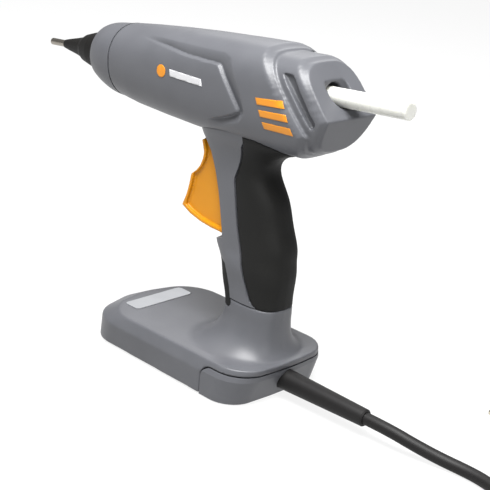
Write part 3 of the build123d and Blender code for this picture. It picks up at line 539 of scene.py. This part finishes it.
    def cut(self, bm: bmesh.types.BMesh, point: tuple[float, float], lean: float, offset: float) -> None:
        """Cut off what lies behind a leaning plane and close the cut.

        Args:
            bm: The mesh.
            point: A (station, height) point on the plane.
            lean: Degrees between the plane's normal and the barrel's axis.
            offset: How far the plane is moved along its normal.
        """
        normal = Vector((math.cos(math.radians(lean)), 0, math.sin(math.radians(lean))))
        centre = Vector((point[0], 0, point[1])) + normal * offset
        bmesh.ops.bisect_plane(
            bm, geom=bm.verts[:] + bm.edges[:] + bm.faces[:], dist=1e-5, plane_co=centre,
            plane_no=normal, clear_outer=True,
        )
        bmesh.ops.contextual_create(bm, geom=[e for e in bm.edges if e.is_boundary])
        bmesh.ops.recalc_face_normals(bm, faces=bm.faces[:])

    def solid(self, bm: bmesh.types.BMesh, name: str) -> bpy.types.Object:
        """A working solid from a mesh in millimetres, for the boolean steps."""
        mesh = bpy.data.meshes.new(name)
        bm.to_mesh(mesh)
        bm.free()
        piece = bpy.data.objects.new(name, mesh)
        bpy.context.scene.collection.objects.link(piece)
        return piece

    def combine(self, base: bpy.types.Object, tool: bpy.types.Object, operation: str) -> None:
        """Join, cut or cross two working solids and drop the tool."""
        apply_modifier(base, "BOOLEAN", operation=operation, object=tool, solver="EXACT")
        bpy.data.objects.remove(tool)

    def rod(self, start: Vector, end: Vector, radius: float) -> bmesh.types.BMesh:
        """A round bar between two points, in millimetres."""
        axis = end - start
        turn = axis.to_track_quat("Z", "Y").to_matrix().to_4x4()
        bm = bmesh.new()
        bmesh.ops.create_cone(
            bm, cap_ends=True, segments=64, radius1=radius, radius2=radius, depth=axis.length,
            matrix=Matrix.Translation((start + end) / 2) @ turn,
        )
        return bm

    def slot_tool(self, side: int) -> bmesh.types.BMesh:
        """The vertical recess in one side of the snout."""
        bm = bmesh.new()
        floor = side * (self.section(0, 0)[2] - self.snout_inset - self.slot_depth)
        low = [bm.verts.new((s, floor, h)) for s, h in self.slot_outline]
        grown = bmesh.ops.extrude_face_region(bm, geom=[bm.faces.new(low)])["geom"]
        for item in grown:
            if isinstance(item, bmesh.types.BMVert):
                item.co.y += side * self.slot_reach
        bmesh.ops.recalc_face_normals(bm, faces=bm.faces[:])
        return bm

    def solid_form(self) -> bpy.types.Object:
        """The barrel, its snout, the stick's inlet and the cradle below it, as one solid."""
        rear = (self.rear_station, 0.0)
        body = self.loft(*self.body_reach, 0.0, 0.0)
        self.cut(body, rear, 90 - self.rear_slant, 0.0)
        self.cut(body, self.undercut, -self.undercut_lean, -self.undercut_step)
        snout = self.loft(*self.snout_reach, self.snout_inset, self.snout_length)
        self.cut(snout, rear, 90 - self.rear_slant, self.snout_length)
        self.cut(snout, self.undercut, -self.undercut_lean, 0.0)
        base = self.solid(body, "barrel_housing")
        self.combine(base, self.solid(snout, "snout"), "UNION")
        for side in (-1, 1):
            self.combine(base, self.solid(self.slot_tool(side), "slot"), "DIFFERENCE")
        low = Vector((self.bore_start, 0, self.bore_height))
        high = Vector((self.clear_of_all, 0, self.bore_height))
        self.combine(base, self.solid(self.rod(low, high, self.bore), "inlet"), "DIFFERENCE")
        start, height, radius = self.trough
        low, high = Vector((start, 0, height)), Vector((self.clear_of_all, 0, height))
        self.combine(base, self.solid(self.rod(low, high, radius), "trough"), "DIFFERENCE")
        for s, h in self.screws:
            low, high = Vector((s, self.screw_seat, h)), Vector((s, self.clear_of_all, h))
            self.combine(base, self.solid(self.rod(low, high, self.screw_recess), "recess"), "DIFFERENCE")
        return base

    def cheek_dip(self, places: np.ndarray) -> np.ndarray:
        """How far the side stands in round the raised cheek.

        Args:
            places: (s, h) pairs.

        Returns:
            Depths in millimetres.
        """
        in_cheek = inside_outline(places, self.cheek + [(-95, -34), (-137, -34)])
        in_band = inside_outline(places, self.band + [(-95, -36), (-138, -36)])
        to_cheek = distance_to_line(places, self.cheek)
        to_band = distance_to_line(places, self.band)
        slope = to_band / (to_band + to_cheek + 1e-6)
        depth = self.cheek_depth * eased(places[:, 0], *self.front_fade)
        low = eased(places[:, 1], *self.low_fade)
        depth = depth * (low + (1 - low) * eased(places[:, 0], *self.rear_fade))
        edge = 1 - eased(to_cheek, 0.0, self.cheek_edge)
        return depth * np.where(in_cheek, edge, np.where(in_band, slope, 0.0))

    def shape_surface(self, piece: bpy.types.Object) -> None:
        """Press the cheek's surround into the remeshed form.

        Args:
            piece: The barrel, still in millimetres.
        """
        mesh = piece.data
        points = np.empty(len(mesh.vertices) * 3)
        mesh.vertices.foreach_get("co", points)
        points = points.reshape(-1, 3)
        dip = self.cheek_dip(points[:, [0, 2]]) * eased(np.abs(points[:, 1]), *self.side_fade)
        points[:, 1] -= np.sign(points[:, 1]) * dip
        mesh.vertices.foreach_set("co", points.ravel())

    def build(self, material: bpy.types.Material) -> bpy.types.Object:
        """Make the barrel housing and put it in place of the two shells.

        Args:
            material: The housing's finish.

        Returns:
            The finished piece.
        """
        piece = self.solid_form()
        apply_modifier(piece, "REMESH", mode="VOXEL", voxel_size=self.grid_mm, use_smooth_shade=True)
        bm = bmesh.new()
        bm.from_mesh(piece.data)
        relax(bm, bm.verts[:], self.smoothing_passes)
        bm.to_mesh(piece.data)
        bm.free()
        self.shape_surface(piece)
        piece.data.transform(BARREL_FRAME @ Matrix.Scale(MM, 4))
        piece.data.materials.clear()
        piece.data.materials.append(material)
        piece.data.shade_smooth()
        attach(piece, "housing")
        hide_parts("barrel_shell_left", "barrel_shell_right")
        log.info("barrel housing: %d faces", len(piece.data.polygons))
        return piece


# ---------------------------------------------------------------- handle and foot
@dataclass
class EasedMoulding:
    """A moulding whose packed form is carried over with its blends eased.

    Lengths are in millimetres.
    """

    node: str
    finish: Finish
    slot: str
    body: str = "housing"
    voxel_mm: float = 0.8
    overall_passes: int = 2
    blend_passes: int = 0
    blend_low: tuple[float, float, float] = (0.0, 0.0, 0.0)
    blend_high: tuple[float, float, float] = (0.0, 0.0, 0.0)

    def in_blend(self, place: Vector) -> bool:
        """Whether a point lies in the box whose blends are eased."""
        return all(a * MM <= c <= b * MM for a, c, b in zip(self.blend_low, place, self.blend_high))

    def build(self, materials: dict[str, bpy.types.Material]) -> bpy.types.Object:
        """Copy, merge, remesh and smooth the moulding.

        Args:
            materials: The finishes by name.

        Returns:
            The piece that stands for the node.
        """
        bm = bmesh.new()
        bm.from_mesh(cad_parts[self.node].data)
        bmesh.ops.remove_doubles(bm, verts=bm.verts[:], dist=0.002 * MM)
        piece = piece_from(bm, f"{self.node}_moulded", materials[self.finish.name])
        apply_modifier(piece, "REMESH", mode="VOXEL", voxel_size=self.voxel_mm * MM)
        bm = bmesh.new()
        bm.from_mesh(piece.data)
        chosen = [v for v in bm.verts if self.in_blend(v.co)]
        relax(bm, chosen, self.blend_passes)
        relax(bm, bm.verts[:], self.overall_passes)
        bm.to_mesh(piece.data)
        bm.free()
        piece.data.shade_smooth()
        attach(piece, self.body)
        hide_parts(self.node)
        log.info("%s: %d faces", piece.name, len(piece.data.polygons))
        return piece


MOULDINGS = (
    EasedMoulding(
        "foot_cover", HOUSING, "housing_plastic", voxel_mm=0.9, blend_passes=40,
        blend_low=(-15.0, -35.0, 23.5), blend_high=(66.0, 35.0, 50.0),
    ),
    EasedMoulding(
        "soft_grip", GRIP, "grip_rubber", voxel_mm=0.7, blend_passes=30,
        blend_low=(22.0, -30.0, 60.0), blend_high=(90.0, 30.0, 160.0),
    ),
    EasedMoulding("trigger", TRIGGER, "trigger_plastic", "trigger", voxel_mm=0.5),
)


@dataclass
class Print:
    """Plain shapes printed on the barrel's sides, in millimetres in the barrel's frame."""

    thickness: float = 0.2
    lift: float = 0.05
    cell: float = 0.8
    rows: int = 40
    dot_corners: int = 40
    bars: list[list[tuple[float, float]]] = field(default_factory=lambda: [
        [(-26.4, -3.2), (-6.2, -2.2), (-4.2, -6.6), (-24.9, -7.2)],
        [(-23.9, -10.2), (-2.8, -9.8), (-0.8, -14.2), (-22.4, -14.2)],
        [(-21.4, -17.2), (0.6, -17.4), (2.6, -21.8), (-19.9, -21.2)],
    ])
    pale: list[list[tuple[float, float]]] = field(default_factory=lambda: [
        [(-100.5, 3.2), (-72.0, 1.0), (-71.0, -3.4), (-99.6, -1.2)],
    ])
    dots: list[tuple[float, float, float]] = field(default_factory=lambda: [(-108.0, 1.0, 4.0)])

    def laid_on(self, outline: list[tuple[float, float]], side: int, wall: BVHTree) -> bmesh.types.BMesh:
        """A printed patch that follows the housing's side.

        Args:
            outline: The patch's corners.
            side: -1 for the left of the gun, 1 for the right.
            wall: The housing's surface.

        Returns:
            The patch as a thin closed mesh, in metres.
        """
        bm = bmesh.new()
        bm.faces.new([bm.verts.new((s, 0, h)) for s, h in outline])
        low = min(s for s, _ in outline)
        high = max(s for s, _ in outline)
        for step in range(1, int((high - low) / self.cell)):
            bmesh.ops.bisect_plane(
                bm, geom=bm.verts[:] + bm.edges[:] + bm.faces[:], dist=1e-4,
                plane_co=(low + step * self.cell, 0, 0), plane_no=(1, 0, 0),
            )
        for step in range(-self.rows, self.rows):
            bmesh.ops.bisect_plane(
                bm, geom=bm.verts[:] + bm.edges[:] + bm.faces[:], dist=1e-4,
                plane_co=(0, 0, step * self.cell), plane_no=(0, 0, 1),
            )
        bm.transform(BARREL_FRAME @ Matrix.Scale(MM, 4))
        inward = Vector((0, -side, 0))
        for vert in bm.verts:
            hit = wall.ray_cast(Vector((vert.co.x, side * 0.1, vert.co.z)), inward)[0]
            vert.co = hit - inward * self.lift * MM
        bmesh.ops.recalc_face_normals(bm, faces=bm.faces[:])
        if sum(f.normal.y for f in bm.faces) * side < 0:
            bmesh.ops.reverse_faces(bm, faces=bm.faces[:])
        grown = bmesh.ops.extrude_face_region(bm, geom=bm.faces[:])["geom"]
        for item in grown:
            if isinstance(item, bmesh.types.BMVert):
                item.co.y += side * self.thickness * MM
        bmesh.ops.recalc_face_normals(bm, faces=bm.faces[:])
        return bm

    def circle(self, s: float, h: float, radius: float) -> list[tuple[float, float]]:
        """The corners of a round dot."""
        turns = [2 * math.pi * k / self.dot_corners for k in range(self.dot_corners)]
        return [(s + radius * math.cos(t), h + radius * math.sin(t)) for t in turns]

    def build(self, housing: bpy.types.Object, materials: dict[str, bpy.types.Material]) -> None:
        """Print the bars, the dot and the pale line on both sides.

        Args:
            housing: The barrel that carries the print.
            materials: The finishes by name.
        """
        bm = bmesh.new()
        bm.from_mesh(housing.data)
        wall = BVHTree.FromBMesh(bm)
        bm.free()
        outlines = {"accent_bars": self.bars, "pale_line": self.pale,
                    "accent_dot": [self.circle(*dot) for dot in self.dots]}
        for side, label in ((-1, "left"), (1, "right")):
            for name, shapes in outlines.items():
                joined = bmesh.new()
                for outline in shapes:
                    patch = self.laid_on(outline, side, wall)
                    scratch = bpy.data.meshes.new("patch")
                    patch.to_mesh(scratch)
                    patch.free()
                    joined.from_mesh(scratch)
                    bpy.data.meshes.remove(scratch)
                finish = INK_PALE if name == "pale_line" else INK_ORANGE
                piece = piece_from(joined, f"{name}_{label}", materials[finish.name])
                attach(piece, "housing")
                log.info("printed %s on the %s", name, label)


# ---------------------------------------------------------------- cord
@dataclass
class MainsCord:
    """The free cord from the strain relief round its coil to the plug, in millimetres."""

    diameter: float = 8.0
    centre: tuple[float, float] = (278.0, 40.0)
    route: list[tuple[float, float, float]] = field(default_factory=lambda: [
        (138.5, 0.0, 12.4), (156.0, 0.0, 12.4), (174.0, 3.6, 8.6), (190.0, 8.2, 5.2),
        (204.0, 10.9, 4.0), (218.0, 10.4, 4.0), (231.0, 6.9, 4.0), (243.0, 1.6, 4.0),
        (255.5, -4.7, 4.0),
    ])
    outer: float = 50.0
    start_deg: float = -100.0
    end_deg: float = 1530.0
    layer_turns: float = 2.4
    step_deg: float = 22.5
    pitch_share: float = 1.02
    layer_gap: float = 0.15
    level_share: float = 0.4
    climb_turns: float = 0.35
    turning_back: float = 0.2
    tail: list[tuple[float, float, float]] = field(default_factory=lambda: [
        (266.0, 90.5, 11.3), (256.0, 91.1, 9.9), (246.0, 91.5, 9.0),
    ])

    def wound_in(self, turns: float) -> float:
        """How many turns' width the coil has drawn in: level, then a slow step, each turn."""
        whole = math.floor(turns)
        share = min(1.0, max(0.0, (turns - whole - self.level_share) / (1 - self.level_share)))
        return whole + smooth_step(share)

    def coil(self) -> list[tuple[float, float, float]]:
        """Control points of the two flat layers: inwards below, outwards above.

        Returns:
            Points in millimetres.
        """
        points = []
        count = round((self.end_deg - self.start_deg) / self.step_deg)
        for k in range(count + 1):
            turned = (self.end_deg - self.start_deg) * k / count
            angle = math.radians(self.start_deg + turned)
            turns = turned / 360
            left = (self.end_deg - self.start_deg) / 360 - turns
            lower = turns < self.layer_turns - self.turning_back
            inward = self.wound_in(min(turns if lower else left, self.layer_turns))
            climbed = (turns - self.layer_turns + self.climb_turns) / self.climb_turns
            climb = smooth_step(min(1.0, max(0.0, climbed)))
            height = self.diameter / 2 + (self.diameter + self.layer_gap) * climb
            radius = self.outer - self.diameter * self.pitch_share * inward
            points.append(self.at(angle, radius, height))
        return points

    def at(self, angle: float, radius: float, height: float) -> tuple[float, float, float]:
        """A point of the coil."""
        x, y = self.centre
        return (x + radius * math.cos(angle), y + radius * math.sin(angle), height)

    def build(self, material: bpy.types.Material) -> bpy.types.Object:
        """Args:
            material: The sheath's finish.

        Returns:
            The cord's curve object.
        """
        points = self.route + self.coil() + self.tail
        curve = bpy.data.curves.new("mains_cord", "CURVE")
        curve.dimensions = "3D"
        curve.bevel_depth = self.diameter / 2 * MM
        curve.bevel_resolution = 5
        curve.resolution_u = 6
        curve.use_fill_caps = True
        spline = curve.splines.new("NURBS")
        spline.points.add(len(points) - 1)
        for place, point in zip(spline.points, points):
            place.co = (point[0] * MM, point[1] * MM, point[2] * MM, 1.0)
        spline.order_u = 3
        spline.use_endpoint_u = True
        curve.materials.append(material)
        piece = bpy.data.objects.new("mains_cord", curve)
        bpy.context.scene.collection.objects.link(piece)
        length = self.measure(piece)
        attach(piece, "housing")
        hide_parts("cord", "cord_coil", "cord_tail")
        log.info("mains cord: %.3f m", length)
        return piece

    def measure(self, piece: bpy.types.Object) -> float:
        """Length of the cord's centre line in metres, rounded to 10 mm."""
        thin = piece.copy()
        thin.data = piece.data.copy()
        thin.data.bevel_depth = 0.0
        bpy.context.scene.collection.objects.link(thin)
        mesh = bpy.data.meshes.new_from_object(thin)
        places = [v.co.copy() for v in mesh.vertices]
        total = sum((b - a).length for a, b in zip(places, places[1:]))
        bpy.data.objects.remove(thin)
        return round(total, 2)


# ---------------------------------------------------------------- studio
@dataclass(frozen=True)
class Lamp:
    """A square soft light aimed at the gun: where it hangs and its edge, in metres."""

    name: str
    place: tuple[float, float, float]
    edge: float
    power_w: float


@dataclass
class Studio:
    """Floor, lights and camera, in metres."""

    floor_half: float = 6.0
    floor_glow: float = 0.86
    surround: float = 0.3
    aim: tuple[float, float, float] = (0.0, 0.0, 0.12)
    lamps: tuple[Lamp, ...] = (
        Lamp("key", (0.15, -0.32, 1.12), 0.7, 41.0),
        Lamp("rim", (-0.6, 0.9, 0.8), 0.7, 3.0),
        Lamp("fill", (1.2, -0.2, 0.5), 0.6, 2.5),
    )
    camera_turns_deg: tuple[float, float, float] = (40.57, 19.97, 6.74)
    camera_place: tuple[float, float, float] = (0.5613, -0.6255, 0.3875)
    lens_mm: float = 100.5
    sensor_mm: float = 36.0

    def floor(self) -> None:
        """A plain pale floor, large enough to fill the view."""
        bm = bmesh.new()
        bmesh.ops.create_grid(bm, x_segments=1, y_segments=1, size=self.floor_half)
        # Matt white studio paper: no gloss, a very faint tooth.
        paper = Finish("studio_paper", "#5a5a5a", "#585858", 0.95, grain_mm=1.5, relief_mm=0.01)
        material = paper.build()
        shader = material.node_tree.nodes["Principled BSDF"]
        shader.inputs["Emission Color"].default_value = linear("#ffffff")
        shader.inputs["Emission Strength"].default_value = self.floor_glow
        piece = piece_from(bm, "studio_floor", material)

    def light(self, lamp: Lamp) -> None:
        """Hang one lamp and aim it at the gun."""
        light = bpy.data.lights.new(lamp.name, "AREA")
        light.size = lamp.edge
        light.energy = lamp.power_w
        holder = bpy.data.objects.new(lamp.name, light)
        place = Vector(lamp.place)
        turn = (Vector(self.aim) - place).to_track_quat("-Z", "Y")
        holder.matrix_world = Matrix.Translation(place) @ turn.to_matrix().to_4x4()
        bpy.context.scene.collection.objects.link(holder)

    def world(self) -> None:
        """An even pale surround."""
        world = bpy.data.worlds.new("studio")
        world.use_nodes = True
        background = world.node_tree.nodes["Background"]
        background.inputs["Color"].default_value = linear("#ffffff")
        background.inputs["Strength"].default_value = self.surround
        bpy.context.scene.world = world
        bpy.context.scene.view_settings.view_transform = "Standard"

    def camera(self) -> None:
        """The camera, looking down at the gun from its left rear."""
        azimuth, elevation, roll = (math.radians(a) for a in self.camera_turns_deg)
        back = Vector((
            math.sin(azimuth) * math.cos(elevation), -math.cos(azimuth) * math.cos(elevation),
            math.sin(elevation),
        ))
        right = (-back).cross(Vector((0, 0, 1))).normalized()
        up = right.cross(-back)
        side = right * math.cos(roll) + up * math.sin(roll)
        top = up * math.cos(roll) - right * math.sin(roll)
        lens = bpy.data.cameras.new("camera")
        lens.lens = self.lens_mm
        lens.sensor_width = self.sensor_mm
        lens.clip_end = 50.0
        holder = bpy.data.objects.new("camera", lens)
        turn = Matrix((side, top, back)).transposed().to_4x4()
        holder.matrix_world = Matrix.Translation(self.camera_place) @ turn
        bpy.context.scene.collection.objects.link(holder)
        bpy.context.scene.camera = holder

    def build(self) -> None:
        """Set up the whole studio."""
        self.floor()
        self.world()
        for lamp in self.lamps:
            self.light(lamp)
        self.camera()
        log.info("studio ready")


def main() -> None:
    """Build every class in order and report each piece."""
    materials = dress_nodes()
    log.info("dressed %d nodes", len(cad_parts))
    housing = BarrelHousing().build(materials[HOUSING.name])
    Print().build(housing, materials)
    for moulding in MOULDINGS:
        moulding.build(materials)
    MainsCord().build(materials[SHEATH.name])
    Studio().build()


if __name__ == "__main__":
    main()
